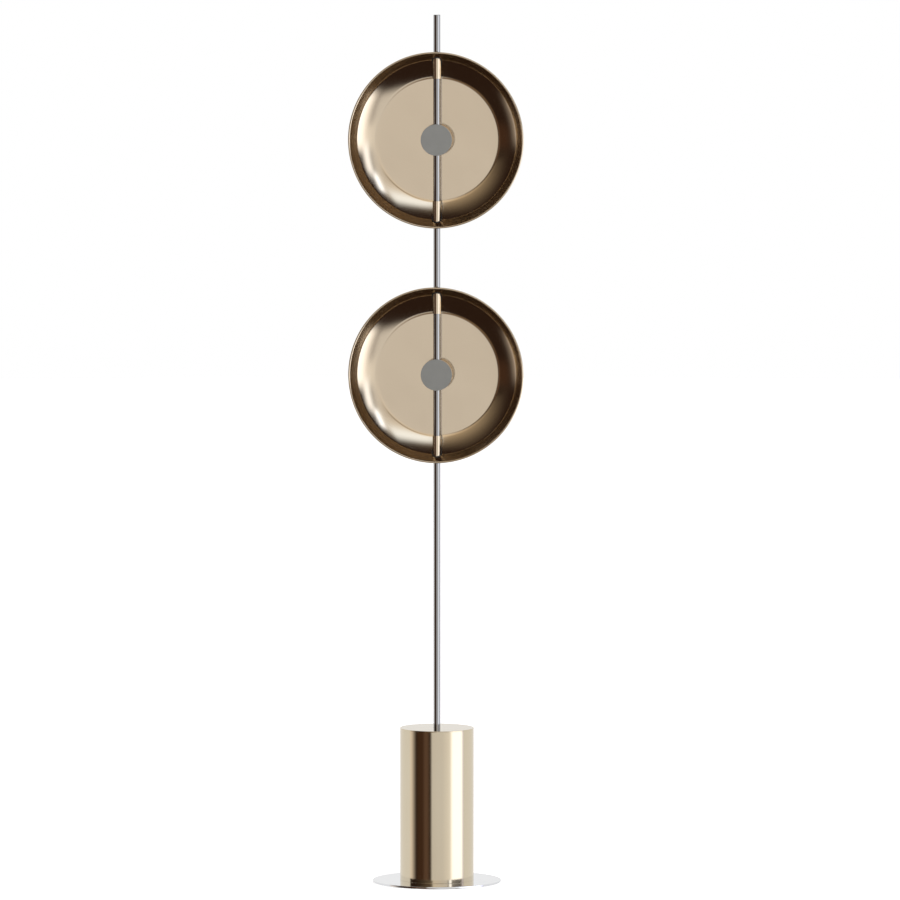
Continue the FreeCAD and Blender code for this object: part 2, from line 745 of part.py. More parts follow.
def dish_post():
    low = BULKHEAD_REAR
    flange = cyl(POST_FLANGE_R, vec(0, low, 0), vec(0, low + POST_FLANGE_T, 0))
    stem = cyl(POST_R, vec(0, low, 0), vec(0, BOTTOM_IN, 0))
    stud = cyl(STUD_R, vec(0, low, 0), vec(0, BOTTOM_OUT + WASHER_T + STUD_BEYOND, 0))
    post = flange.fuse(stem).fuse(stud)
    for x, z in post_screw_places():
        post = post.cut(cyl(M25_R + FIT, vec(x, low - 1, z), vec(x, low + POST_FLANGE_T + 0.01, z)))
    return post.removeSplitter()


def post_screws():
    seat = BULKHEAD_REAR + POST_FLANGE_T
    screws = []
    for x, z in post_screw_places():
        shank = cyl(M25_R, vec(x, seat - M25_LENGTH, z), vec(x, seat, z))
        head = cyl(M25_HEAD_R, vec(x, seat, z), vec(x, seat + M25_HEAD_T, z))
        recess = cyl(M25_R * 0.8, vec(x, seat + 1, z), vec(x, seat + M25_HEAD_T, z))
        screws.append(shank.fuse(head).cut(recess).removeSplitter())
    return Part.makeCompound(screws)


def dish_washer():
    return tube(WASHER_R, STUD_R + FIT, vec(0, BOTTOM_OUT, 0), vec(0, BOTTOM_OUT + WASHER_T, 0))


def dish_nut():
    low = BOTTOM_OUT + WASHER_T
    nut = hexagon(NUT_FLATS, NUT_H, vec(0, 0, 0))
    nut.rotate(vec(0, 0, 0), X, -90)
    nut.translate(vec(0, low, 0))
    dome_r = NUT_FLATS / 2
    dome = Part.makeSphere(dome_r, vec(0, low + NUT_H, 0), Y, 0, 90, 360)
    bore = cyl(STUD_R + SEAT, vec(0, low - 1, 0), vec(0, low + STUD_BEYOND + 0.5, 0))
    return nut.fuse(dome).cut(bore).removeSplitter()


def head_lead():
    round_wire = (-HALF_TURN_DEG, HALF_TURN_DEG)
    loop = Part.makeTorus(LOOP_R, LOOP_WIRE_R, vec(0, 0, EXIT_Z), Z, *round_wire, LOOP_SPAN_DEG)
    loop.rotate(vec(0, 0, EXIT_Z), Z, 360 - LOOP_SPAN_DEG)
    tail = cyl(LOOP_WIRE_R, vec(LOOP_R, 0, EXIT_Z), vec(LOOP_R, BULKHEAD_REAR, EXIT_Z))
    return loop.fuse(tail).removeSplitter()


# ---------------------------------------------------------------- output
BASE_PIECES = {
    "foot_pad": foot_pad,
    "base_plate": base_plate,
    "plate_screws": plate_screws,
    "mount_ring": mount_ring,
    "counterweight": counterweight,
    "canister_shell": canister_shell,
    "canister_lid": canister_lid,
    "pole_socket": pole_socket,
    "socket_grub_screws": socket_grub_screws,
    "pan_screws": pan_screws,
    "driver_bracket": driver_bracket,
    "led_driver": led_driver,
    "terminal_block": terminal_block,
    "earth_stud": earth_stud,
    "mains_lead": mains_lead,
    "driver_lead": driver_lead,
    "cable_gland": cable_gland,
    "gland_nut": gland_nut,
    "pole_lower": pole_lower,
    "pole_middle": pole_middle,
    "pole_upper": pole_upper,
    "pole_joiners": pole_joiners,
    "pole_cap": pole_cap,
    "pole_cable": pole_cable,
    "thrust_washers": thrust_washers,
    "collar_grub_screws": collar_grub_screws,
}

HEAD_PIECES = {
    "dish": dish,
    "wall_bushes": wall_bushes,
    "hub_block": hub_block,
    "puck_housing": puck_housing,
    "front_cover": front_cover,
    "cover_pillars": cover_pillars,
    "cover_screws": cover_screws,
    "led_board": led_board,
    "leds": leds,
    "diffuser": diffuser,
    "dish_post": dish_post,
    "post_screws": post_screws,
    "dish_washer": dish_washer,
    "dish_nut": dish_nut,
    "head_lead": head_lead,
}


def save(name, shape):
    shape.exportStep("parts/" + name + ".step")
    box_of = shape.BoundBox
    ends = (box_of.XMin, box_of.XMax, box_of.YMin, box_of.YMax, box_of.ZMin, box_of.ZMax)
    numbers = " ".join("%.2f" % v for v in ends)
    print("%-22s solids %d valid %s volume %.1f  %s"
          % (name, len(shape.Solids), shape.isValid(), shape.Volume, numbers))


os.makedirs("parts", exist_ok=True)
for piece_name, make in BASE_PIECES.items():
    save(piece_name, make())
for head_name, head_z in HEAD_Z.items():
    save("collar_support_" + head_name, collar_support(head_name))
    save("collar_stop_" + head_name, collar_stop(head_name))
    for piece_name, make in HEAD_PIECES.items():
        head_shape = make()
        head_shape.translate(vec(0, 0, head_z))
        save(head_name + "_" + piece_name, head_shape)
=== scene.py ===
import math

import bpy
from mathutils import Matrix, Vector


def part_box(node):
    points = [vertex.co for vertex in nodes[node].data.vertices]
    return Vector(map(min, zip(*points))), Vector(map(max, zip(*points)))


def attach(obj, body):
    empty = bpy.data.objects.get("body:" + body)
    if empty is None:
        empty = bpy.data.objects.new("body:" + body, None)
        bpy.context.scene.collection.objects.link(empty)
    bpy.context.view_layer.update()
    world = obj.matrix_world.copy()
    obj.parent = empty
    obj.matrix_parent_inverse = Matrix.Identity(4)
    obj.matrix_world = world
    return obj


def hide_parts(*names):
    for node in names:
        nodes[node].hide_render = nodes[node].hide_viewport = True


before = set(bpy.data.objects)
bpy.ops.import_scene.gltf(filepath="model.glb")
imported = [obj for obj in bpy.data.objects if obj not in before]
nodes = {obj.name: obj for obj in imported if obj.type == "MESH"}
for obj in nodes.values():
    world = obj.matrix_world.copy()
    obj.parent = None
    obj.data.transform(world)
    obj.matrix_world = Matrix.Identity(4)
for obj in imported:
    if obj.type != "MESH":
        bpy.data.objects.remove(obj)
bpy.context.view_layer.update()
mm = 0.001


# ---------------------------------------------------------------- foot disc
# A 4 mm steel disc, polished and chromed to a mirror, with its sharp edges broken.
# It is turned from plate, and every other piece stands on it.
def rgb(red, green, blue):
    """Display colour of 0 to 255 as the linear colour that a shader takes."""
    parts = []
    for part in (red, green, blue):
        part = part / 255
        parts.append(part / 12.92 if part <= 0.04045 else ((part + 0.055) / 1.055) ** 2.4)
    return (*parts, 1.0)


def lone_vertex(name, place):
    """A new mesh object with one vertex, ready in edit mode."""
    bpy.ops.object.select_all(action="DESELECT")
    bpy.ops.mesh.primitive_plane_add(size=0.001, location=place)
    piece = bpy.context.object
    piece.name = name
    piece.data.name = name
    bpy.ops.object.transform_apply(location=True, rotation=True, scale=True)
    bpy.ops.object.mode_set(mode="EDIT")
    bpy.ops.mesh.select_all(action="SELECT")
    bpy.ops.mesh.merge(type="CENTER")
    return piece


def turn(name, outline, axis="Z", centre=(0, 0, 0), steps=192, smooth=35):
    """Turns an outline of (radius, height) points in millimetres round an axis, as on a lathe."""
    middle = Vector(centre)
    along = Vector((0, 0, 1)) if axis == "Z" else Vector((0, 1, 0))
    points = [middle + Vector((r, 0, 0)) * mm + along * h * mm for r, h in outline]
    piece = lone_vertex(name, points[0])
    for before, after in zip(points, points[1:]):
        bpy.ops.mesh.extrude_region_move(TRANSFORM_OT_translate={"value": after - before})
    bpy.ops.mesh.select_all(action="SELECT")
    bpy.ops.mesh.spin(steps=steps, angle=2 * math.pi, center=middle, axis=along)
    bpy.ops.mesh.select_all(action="SELECT")
    bpy.ops.mesh.remove_doubles(threshold=2e-6)
    bpy.ops.mesh.normals_make_consistent(inside=False)
    bpy.ops.object.mode_set(mode="OBJECT")
    bpy.ops.object.shade_smooth_by_angle(angle=math.radians(smooth))
    return piece


def arc(centre_r, centre_h, radius, start, end, count):
    """Points of an arc in an outline, angles in degrees from the radius direction."""
    turns = [math.radians(start + (end - start) * i / count) for i in range(count + 1)]
    return [(centre_r + radius * math.cos(t), centre_h + radius * math.sin(t)) for t in turns]


def new_group(name, inputs, outputs):
    """A shader node group with plain sockets; gives the group, its input and its output node."""
    group = bpy.data.node_groups.new(name, "ShaderNodeTree")
    for label, kind, value in inputs:
        made = group.interface.new_socket(name=label, in_out="INPUT", socket_type=kind)
        if value is not None:
            made.default_value = value
    for label, kind in outputs:
        group.interface.new_socket(name=label, in_out="OUTPUT", socket_type=kind)
    return group, group.nodes.new("NodeGroupInput"), group.nodes.new("NodeGroupOutput")


def add(tree, kind, **values):
    """A node with its settings; a key that is a number sets that input's value."""
    node = tree.nodes.new(kind)
    for key, value in values.items():
        if key[0] == "i" and key[1:].isdigit():
            node.inputs[int(key[1:])].default_value = value
        else:
            setattr(node, key, value)
    return node


def smudge_group():
    """Handling marks: a roughness that wanders softly over a polished face."""
    group, given, result = new_group(
        "handling smudges",
        [("Vector", "NodeSocketVector", None), ("Roughness", "NodeSocketFloat", 0.1),
         ("Spread", "NodeSocketFloat", 0.03), ("Scale", "NodeSocketFloat", 14.0)],
        [("Roughness", "NodeSocketFloat"), ("Mask", "NodeSocketFloat")])
    broad = add(group, "ShaderNodeTexNoise", i3=5.0, i4=0.55)
    shape = add(group, "ShaderNodeMapRange", interpolation_type="SMOOTHSTEP", i1=0.35, i2=0.72)
    scaled = add(group, "ShaderNodeMath", operation="MULTIPLY")
    total = add(group, "ShaderNodeMath", operation="ADD", use_clamp=True)
    link = group.links.new
    link(given.outputs["Vector"], broad.inputs["Vector"])
    link(given.outputs["Scale"], broad.inputs["Scale"])
    link(broad.outputs["Fac"], shape.inputs["Value"])
    link(shape.outputs["Result"], scaled.inputs[0])
    link(given.outputs["Spread"], scaled.inputs[1])
    link(scaled.outputs[0], total.inputs[0])
    link(given.outputs["Roughness"], total.inputs[1])
    link(total.outputs[0], result.inputs["Roughness"])
    link(shape.outputs["Result"], result.inputs["Mask"])
    return group


def turning_group():
    """Turning marks: fine rings round the local Z axis, broken a little along their length."""
    group, given, result = new_group(
        "turning marks",
        [("Vector", "NodeSocketVector", None), ("Rings per metre", "NodeSocketFloat", 900.0),
         ("Broken", "NodeSocketFloat", 0.3)],
        [("Height", "NodeSocketFloat"), ("Rings", "NodeSocketFloat")])
    split = add(group, "ShaderNodeSeparateXYZ")
    flat = add(group, "ShaderNodeCombineXYZ")
    length = add(group, "ShaderNodeVectorMath", operation="LENGTH")
    dense = add(group, "ShaderNodeMath", operation="MULTIPLY")
    rings = add(group, "ShaderNodeTexNoise", noise_dimensions="1D", i3=3.0, i4=0.6)
    rings.inputs["Scale"].default_value = 1.0
    unit = add(group, "ShaderNodeVectorMath", operation="NORMALIZE")
    stretched = add(group, "ShaderNodeVectorMath", operation="SCALE")
    stretched.inputs["Scale"].default_value = 3.0
    streaks = add(group, "ShaderNodeTexNoise", noise_dimensions="4D", i3=2.0)
    streaks.inputs["Scale"].default_value = 1.0
    mixed = add(group, "ShaderNodeMix", data_type="FLOAT")
    link = group.links.new
    link(given.outputs["Vector"], split.inputs[0])
    link(split.outputs["X"], flat.inputs["X"])
    link(split.outputs["Y"], flat.inputs["Y"])
    link(flat.outputs[0], length.inputs[0])
    link(length.outputs["Value"], dense.inputs[0])
    link(given.outputs["Rings per metre"], dense.inputs[1])
    link(dense.outputs[0], rings.inputs["W"])
    link(flat.outputs[0], unit.inputs[0])
    link(unit.outputs[0], stretched.inputs[0])
    link(stretched.outputs[0], streaks.inputs["Vector"])
    link(dense.outputs[0], streaks.inputs["W"])
    link(given.outputs["Broken"], mixed.inputs["Factor"])
    link(rings.outputs["Fac"], mixed.inputs["A"])
    link(streaks.outputs["Fac"], mixed.inputs["B"])
    link(mixed.outputs["Result"], result.inputs["Height"])
    link(rings.outputs["Fac"], result.inputs["Rings"])
    return group


smudges = smudge_group()
turning_marks = turning_group()


def polished_metal(name, face, shade, rough, spread, rings=0.0, depth=0.0, centre=(0, 0, 0), facing="Z"):
    """Turned and polished metal: base colour that drifts from face to shade, smudges, fine rings."""
    material = bpy.data.materials.new(name)
    material.use_nodes = True
    tree = material.node_tree
    surface = tree.nodes["Principled BSDF"]
    surface.inputs["Metallic"].default_value = 1.0
    place = add(tree, "ShaderNodeTexCoord")
    centred = add(tree, "ShaderNodeMapping", vector_type="POINT")
    centred.inputs["Location"].default_value = [-c for c in centre]
    if facing == "Y":
        centred.inputs["Rotation"].default_value = (math.pi / 2, 0, 0)
        centred.inputs["Location"].default_value = (-centre[0], centre[2], -centre[1])
    cloud = add(tree, "ShaderNodeTexNoise", i2=6.0, i3=3.0)
    tint = add(tree, "ShaderNodeMix", data_type="RGBA")
    tint.inputs["A"].default_value = face
    tint.inputs["B"].default_value = shade
    marks = add(tree, "ShaderNodeGroup", node_tree=smudges)
    marks.inputs["Roughness"].default_value = rough
    marks.inputs["Spread"].default_value = spread
    link = tree.links.new
    link(place.outputs["Object"], centred.inputs["Vector"])
    link(centred.outputs[0], cloud.inputs["Vector"])
    link(cloud.outputs["Fac"], tint.inputs["Factor"])
    link(tint.outputs["Result"], surface.inputs["Base Color"])
    link(centred.outputs[0], marks.inputs["Vector"])
    link(marks.outputs["Roughness"], surface.inputs["Roughness"])
    if rings:
        lathe = add(tree, "ShaderNodeGroup", node_tree=turning_marks)
        lathe.inputs["Rings per metre"].default_value = rings
        bump = add(tree, "ShaderNodeBump")
        bump.inputs["Strength"].default_value = 1.0
        bump.inputs["Distance"].default_value = depth
        link(centred.outputs[0], lathe.inputs["Vector"])
        link(lathe.outputs["Height"], bump.inputs["Height"])
        link(bump.outputs["Normal"], surface.inputs["Normal"])
    return material


def dress(piece, material, slot, body, *stands_for):
    """Gives a finished piece its material and the body that it rides on; the slot argument is not used."""
    piece.data.materials.clear()
    piece.data.materials.append(material)
    if stands_for:
        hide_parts(*stands_for)
    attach(piece, body)
    return piece


foot_bottom = 1.0
foot_top = 5.0
foot_r = 131.5
foot_edge = 0.5
# a ring of points close to each rounded edge keeps the shading of the flat face beside it flat
guard = 1.2
foot_outline = [(0, foot_bottom), (foot_r - guard, foot_bottom)]
foot_outline += arc(foot_r - foot_edge, foot_bottom + foot_edge, foot_edge, -90, 0, 4)
foot_outline += arc(foot_r - foot_edge, foot_top - foot_edge, foot_edge, 0, 90, 4)
foot_outline += [(foot_r - guard, foot_top), (foot_r * 0.75, foot_top), (foot_r * 0.5, foot_top), (0, foot_top)]
foot_disc = turn("foot_disc", foot_outline, steps=256)
foot_chrome = polished_metal("foot chrome", rgb(236, 236, 237), rgb(229, 230, 232), 0.045, 0.03, 700, 2e-7)
dress(foot_disc, foot_chrome, "foot_chrome", "base", "base_plate")


# ---------------------------------------------------------------- foot pad
# A thin dark felt disc glued under the foot disc, so that the lamp doesn't slip or scratch.
# It keeps its solid and gets the fine grain of pressed felt.
def grain_group():
    """Fine moulded or sprayed grain: a small height and a soft mask of lighter specks."""
    group, given, result = new_group(
        "fine grain",
        [("Vector", "NodeSocketVector", None), ("Scale", "NodeSocketFloat", 1500.0)],
        [("Height", "NodeSocketFloat"), ("Mask", "NodeSocketFloat")])
    pebbles = add(group, "ShaderNodeTexVoronoi", feature="SMOOTH_F1")
    broad = add(group, "ShaderNodeTexNoise", i2=40.0, i3=4.0)
    link = group.links.new
    link(given.outputs["Vector"], pebbles.inputs["Vector"])
    link(given.outputs["Scale"], pebbles.inputs["Scale"])
    link(given.outputs["Vector"], broad.inputs["Vector"])
    link(pebbles.outputs["Distance"], result.inputs["Height"])
    link(broad.outputs["Fac"], result.inputs["Mask"])
    return group


fine_grain = grain_group()


def grained(name, face, shade, rough, scale, depth, metallic=0.0):
    """Matt moulded, sprayed or cast surface with a fine grain and a slow drift of tone."""
    material = bpy.data.materials.new(name)
    material.use_nodes = True
    tree = material.node_tree
    surface = tree.nodes["Principled BSDF"]
    surface.inputs["Metallic"].default_value = metallic
    place = add(tree, "ShaderNodeTexCoord")
    grain = add(tree, "ShaderNodeGroup", node_tree=fine_grain)
    grain.inputs["Scale"].default_value = scale
    tint = add(tree, "ShaderNodeMix", data_type="RGBA")
    tint.inputs["A"].default_value = face
    tint.inputs["B"].default_value = shade
    wear = add(tree, "ShaderNodeMapRange", i1=0.3, i2=0.7, i3=rough - 0.05, i4=rough + 0.05)
    bump = add(tree, "ShaderNodeBump")
    bump.inputs["Strength"].default_value = 0.6
    bump.inputs["Distance"].default_value = depth
    link = tree.links.new
    link(place.outputs["Object"], grain.inputs["Vector"])
    link(grain.outputs["Mask"], tint.inputs["Factor"])
    link(tint.outputs["Result"], surface.inputs["Base Color"])
    link(grain.outputs["Mask"], wear.inputs["Value"])
    link(wear.outputs["Result"], surface.inputs["Roughness"])
    link(grain.outputs["Height"], bump.inputs["Height"])
    link(bump.outputs["Normal"], surface.inputs["Normal"])
    return material


def coat_node(material, *names):
    """Gives carried-over solids their finish."""
    for name in names:
        nodes[name].data.materials.clear()
        nodes[name].data.materials.append(material)


foot_felt = grained("foot felt", rgb(34, 34, 34), rgb(24, 24, 25), 0.95, 2200, 4e-5)
coat_node(foot_felt, "foot_pad")

# ---------------------------------------------------------------- weight and fixings in the canister
# A cast iron block bolted to the foot disc, the steel ring that holds the canister, and plated screws.
# They are closed in by the canister, and the screws' heads lie flush under the foot disc.
cast_iron = grained("cast iron", rgb(52, 53, 55), rgb(40, 40, 42), 0.7, 700, 8e-5, 0.6)
zinc_plate = grained("zinc plate", rgb(176, 178, 180), rgb(150, 153, 158), 0.35, 1600, 5e-6, 1.0)
blackened_steel = grained("blackened steel", rgb(62, 62, 66), rgb(44, 44, 47), 0.45, 1500, 6e-6, 1.0)
coat_node(cast_iron, "counterweight")
coat_node(zinc_plate, "plate_screws", "mount_ring", "pole_socket", "pan_screws", "driver_bracket")
coat_node(blackened_steel, "socket_grub_screws", "collar_grub_screws")

# ---------------------------------------------------------------- driver and wiring in the canister
# The driver's moulded case, the terminal block, the earth stud and the leads between them.
# They are screwed to the weight and its bracket before the canister goes over them.
case_plastic = grained("driver case", rgb(222, 222, 219), rgb(212, 212, 208), 0.55, 1300, 1e-5)
block_plastic = grained("terminal block", rgb(226, 223, 210), rgb(214, 210, 196), 0.5, 1100, 1e-5)
lead_sheath = grained("lead sheath", rgb(40, 40, 41), rgb(30, 30, 31), 0.5, 1800, 8e-6)
turned_brass = polished_metal("turned brass", rgb(214, 188, 142), rgb(196, 168, 120), 0.22, 0.06, 2400, 2e-6)
coat_node(case_plastic, "led_driver")
coat_node(block_plastic, "terminal_block")
coat_node(lead_sheath, "mains_lead", "driver_lead", "pole_cable")
coat_node(turned_brass, "earth_stud")

# ---------------------------------------------------------------- canister
# A drawn tube of pale brass, polished and lacquered, that slips over the ring and the weight.
# Its rims are broken, and a round hole low at the back takes the cord's gland.
can_r = 75.5
can_in = 74.0
can_top = 316.0
tube_outline = [*arc(can_r - 0.25, foot_top + 0.25, 0.25, -90, 0, 3)]
tube_outline.append((can_r, foot_top + 0.8))
tube_outline += [(can_r, foot_top + (can_top - foot_top) * step / 8) for step in range(1, 8)]
tube_outline.append((can_r, can_top - 0.6))
tube_outline += [*arc(can_r - 0.12, can_top - 0.12, 0.12, 0, 90, 3), (can_in, can_top), (can_in, foot_top)]
tube_outline.append(tube_outline[0])
canister = turn("canister_tube", tube_outline, steps=320)


def bore(piece, radius, start, end):
    """Drills a round hole through a piece between two points."""
    axis = Vector(end) - Vector(start)
    bpy.ops.object.select_all(action="DESELECT")
    bpy.ops.mesh.primitive_cylinder_add(vertices=64, radius=radius, depth=axis.length,
                                        location=(Vector(start) + Vector(end)) / 2)
    drill = bpy.context.object
    drill.rotation_mode = "QUATERNION"
    drill.rotation_quaternion = axis.to_track_quat("Z", "Y")
    bpy.ops.object.transform_apply(location=True, rotation=True, scale=True)
    bpy.ops.object.select_all(action="DESELECT")
    bpy.context.view_layer.objects.active = piece
    piece.select_set(True)
    cut = piece.modifiers.new("bore", "BOOLEAN")
    cut.operation = "DIFFERENCE"
    cut.solver = "EXACT"
    cut.object = drill
    bpy.ops.object.modifier_apply(modifier=cut.name)
    bpy.data.objects.remove(drill)
    bpy.ops.object.shade_smooth_by_angle(angle=math.radians(35))


gland_z = 0.030
gland_hole = 6.05
bore(canister, gland_hole * mm, (0, 0.060, gland_z), (0, 0.090, gland_z))
canister_brass = polished_metal("canister brass", rgb(219, 207, 183), rgb(214, 200, 174), 0.10, 0.02)
dress(canister, canister_brass, "canister_brass", "base", "canister_shell")

# ---------------------------------------------------------------- canister lid
# A flat lid of the same brass, turned flat on its face and set into the tube by a spigot.
# The pole passes through a plain hole in its middle.
lid_top = 318.0
lid_hole = 7.3
lid_outline = [(lid_hole, can_top), (71.0, can_top), (71.0, 311.0), (73.95, 311.0), (73.95, can_top - 0.02)]
lid_outline += [(can_r - 0.12, can_top - 0.02), *arc(can_r - 0.12, can_top + 0.1, 0.12, -90, 0, 2)]
lid_edge = 0.45
lid_outline += arc(can_r - lid_edge, lid_top - lid_edge, lid_edge, 0, 90, 5)
lid_outline += [(r, lid_top) for r in (can_r - guard, 50.0, 25.0, lid_hole + 0.8)]
lid_outline += [*arc(lid_hole + 0.2, lid_top - 0.2, 0.2, 90, 180, 3), (lid_hole, can_top)]
lid = turn("canister_lid_plate", lid_outline, steps=320)
lid_brass = polished_metal("lid brass", rgb(219, 207, 183), rgb(214, 200, 174), 0.09, 0.03, 900, 4e-7)
dress(lid, lid_brass, "canister_brass", "base", "canister_lid")

# ---------------------------------------------------------------- cord gland
# A black nylon bush with a nut inside, where the cord enters low at the back of the canister.
# Its flange follows the round wall, and its mouth is rounded so that the cord isn't cut.
black_nylon = grained("black nylon", rgb(38, 38, 39), rgb(28, 28, 29), 0.45, 1700, 6e-6)
coat_node(black_nylon, "cable_gland", "gland_nut")

# ---------------------------------------------------------------- pole
# Three steel tubes, nickel-plated and polished, joined end to end by inner sleeves inside the light heads.
# A flat turned plug closes the top, and the cable runs up inside.
pole_r = 7.0
pole_in = 5.5
white_nylon = grained("white nylon", rgb(232, 232, 228), rgb(222, 222, 217), 0.5, 1500, 5e-6)
pole_nickel = polished_metal("pole nickel", rgb(168, 168, 168), rgb(162, 162, 163), 0.06, 0.03)


def pole_tube(name, node):
    """One tube of the pole, its ends chamfered a little, from the foot to the top of its solid."""
    low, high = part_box(node)
    foot, head = low.z / mm, high.z / mm
    outline = [(pole_r - 0.08, foot), (pole_r, foot + 0.08), (pole_r, foot + 0.6)]
    outline += [(pole_r, foot + (head - foot) * step / 6) for step in range(1, 6)]
    outline += [(pole_r, head - 0.6), (pole_r, head - 0.08), (pole_r - 0.08, head)]
    outline += [(pole_in, head), (pole_in, foot)]
    outline.append(outline[0])
    return turn(name, outline, steps=96)


for part in ("lower", "middle", "upper"):
    tube = pole_tube("pole_tube_" + part, "pole_" + part)
    dress(tube, pole_nickel, "pole_nickel", "base", "pole_" + part)
cap_foot, cap_top = 1776.0, 1778.0
cap_outline = [(0, cap_foot - 10), (5.4, cap_foot - 10), (5.48, cap_foot - 9.8), (5.48, cap_foot)]
cap_outline.append((pole_r, cap_foot))
cap_outline += [*arc(pole_r - 0.5, cap_top - 0.5, 0.5, 0, 90, 5), (0, cap_top)]
cap = turn("pole_end_plug", cap_outline, steps=96)
dress(cap, pole_nickel, "pole_nickel", "base", "pole_cap")
coat_node(zinc_plate, "pole_joiners")
coat_node(white_nylon, "thrust_washers")
for part in ("lower", "upper"):
    coat_node(turned_brass, "collar_support_" + part, "collar_stop_" + part)

# ---------------------------------------------------------------- light heads
# In each head a machined block turns on the pole. A turned housing goes round it, with a grey front cover.
# Behind, a ring of lamps under an opal diffuser lights the dish, and a brass post carries the dish.
head_heights = {"lower": 1.043, "upper": 1.523}
machined_alloy = grained("machined alloy", rgb(206, 208, 210), rgb(190, 193, 196), 0.3, 2000, 4e-6, 1.0)
board_mask = grained("board mask", rgb(232, 232, 228), rgb(224, 224, 220), 0.45, 900, 5e-6)
lamp_phosphor = grained("lamp phosphor", rgb(240, 214, 120), rgb(234, 202, 96), 0.3, 1200, 4e-6)
opal = grained("opal diffuser", rgb(240, 240, 237), rgb(234, 234, 231), 0.4, 1500, 4e-6)
cover_grey = grained("cover grey", rgb(126, 126, 123), rgb(120, 120, 117), 0.85, 1900, 1.2e-5)


def copy_up(piece, name, lift):
    """A copy of a piece with a mesh of its own, lifted along the pole."""
    twin = piece.copy()
    twin.data = piece.data.copy()
    twin.name = name
    twin.data.name = name
    twin.data.transform(Matrix.Translation((0, 0, lift)))
    bpy.context.scene.collection.objects.link(twin)
    return twin


low_z = head_heights["lower"]
lift = head_heights["upper"] - low_z
low_centre = (0, 0, low_z)

# front cover: a turned disc with a fine bevel and a lip that slips into the housing
cover_front = -12.0
cover_outline = [(r, cover_front) for r in (0, 12, 22, 30.7)]
cover_outline += [*arc(31.5, -11.5, 0.5, -90, 0, 4), (32.0, -10.5), (29.45, -10.5)]
cover_outline += [(29.45, -8.0), (28.0, -8.0), (28.0, -10.4), (0, -10.4)]
cover = turn("lower_cover_disc", cover_outline, axis="Y", centre=low_centre, steps=128)
pole_hole = 7.6
past_head = 0.034
bore(cover, pole_hole * mm, (0, 0, low_z - past_head), (0, 0, low_z + past_head))

# housing: the turned side of the light head, with a hole above and below for the pole
housing_r = 31.2
housing_outline = [(31.0, -10.5), *[(housing_r, y) for y in (-10.3, -9.8, -4, 2, 8, 12.9, 13.4)]]
housing_outline += [(30.9, 13.7), (29.5, 13.7)]
housing_outline += [(29.5, 10.8), (0, 10.8), (0, 9.6), (29.5, 9.6), (29.5, -10.5), (31.0, -10.5)]
housing = turn("lower_housing_shell", housing_outline, axis="Y", centre=low_centre, steps=128)
bore(housing, pole_hole * mm, (0, 0, low_z - past_head), (0, 0, low_z + past_head))

# diffuser: an opal ring with a rounded lip, pressed into the housing's back
diffuser_outline = [(13.6, 12.7), *arc(14.0, 13.3, 0.4, 180, 90, 3), (20, 13.7), (26, 13.7)]
diffuser_outline += arc(28.95, 13.2, 0.5, 90, 0, 3)
diffuser_outline += [(29.45, 10.8), (28.35, 10.8), (28.35, 12.7), (13.6, 12.7)]
ring = turn("lower_opal_ring", diffuser_outline, axis="Y", centre=low_centre, steps=96)

for head, height in head_heights.items():
    up = lift if head == "upper" else 0.0
    body = head + "_head"
    side_bronze = polished_metal(head + " housing bronze", rgb(222, 206, 182), rgb(214, 198, 173), 0.2, 0.04,
                                 1500, 1.5e-6, (0, 0, height), "Y")
    if up:
        pieces_up = [copy_up(cover, "upper_cover_disc", up), copy_up(housing, "upper_housing_shell", up),
                     copy_up(ring, "upper_opal_ring", up)]
    else:
        pieces_up = [cover, housing, ring]
    dress(pieces_up[0], cover_grey, "cover_grey", body, head + "_front_cover")
    dress(pieces_up[1], side_bronze, "puck_bronze", body, head + "_puck_housing")
    dress(pieces_up[2], opal, "opal_diffuser", body, head + "_diffuser")
    coat_node(machined_alloy, head + "_hub_block", head + "_cover_pillars")
    coat_node(zinc_plate, head + "_cover_screws")
    coat_node(blackened_steel, head + "_post_screws")
    coat_node(board_mask, head + "_led_board")
    coat_node(lamp_phosphor, head + "_leds")
    coat_node(lead_sheath, head + "_head_lead")
    coat_node(turned_brass, head + "_dish_post", head + "_dish_washer", head + "_dish_nut")
    coat_node(black_nylon, head + "_wall_bushes")

# ---------------------------------------------------------------- dishes
# A disc of thin aluminium spun over a former: flat floor, sloping shoulder, steep wall and a rolled rim.
# It is polished to a soft mirror and anodised champagne bronze, and the pole passes through its wall.
rim_r = 180.0
bead_r = 2.2
bead = (rim_r - bead_r, -24.5 + bead_r)
dish_wall = 1.5
floor_in = 17.0
wall_deg = 56.5
floor_bend = (20.0, 0.0, 21.0)
shoulder = (168.0, 21.0, 33.0)
crease = (11.0, 33.0, wall_deg)
bends = (floor_bend, shoulder, crease)


def outward(deg):
    """Way that the dish's back faces, in radius and depth, where its tilt from the floor is deg."""
    return Vector((math.sin(math.radians(deg)), math.cos(math.radians(deg))))


end_in = Vector(bead) - outward(wall_deg) * dish_wall / 2
swing = Vector((0, 0))
for bend_r, start_deg, end_deg in bends:
    swing += (outward(end_deg) - outward(start_deg)) * bend_r
wall_depth = floor_in - end_in[1] + swing[1]
flat_r = end_in[0] - swing[0] - wall_depth / math.tan(math.radians(wall_deg))


def dish_line(offset):
    """Points from the floor's edge over the bends to the wall, moved back by offset."""
    corner = Vector((flat_r, floor_in))
    line = []
    for bend_r, start_deg, end_deg in bends:
        centre = corner - outward(start_deg) * bend_r
        count = 8 + round(bend_r / 14)
        line += arc(*centre, bend_r + offset, 90 - start_deg, 90 - end_deg, count)[:-1]
        corner = centre + outward(end_deg) * bend_r
    line.append(tuple(corner + outward(wall_deg) * offset))
    return line


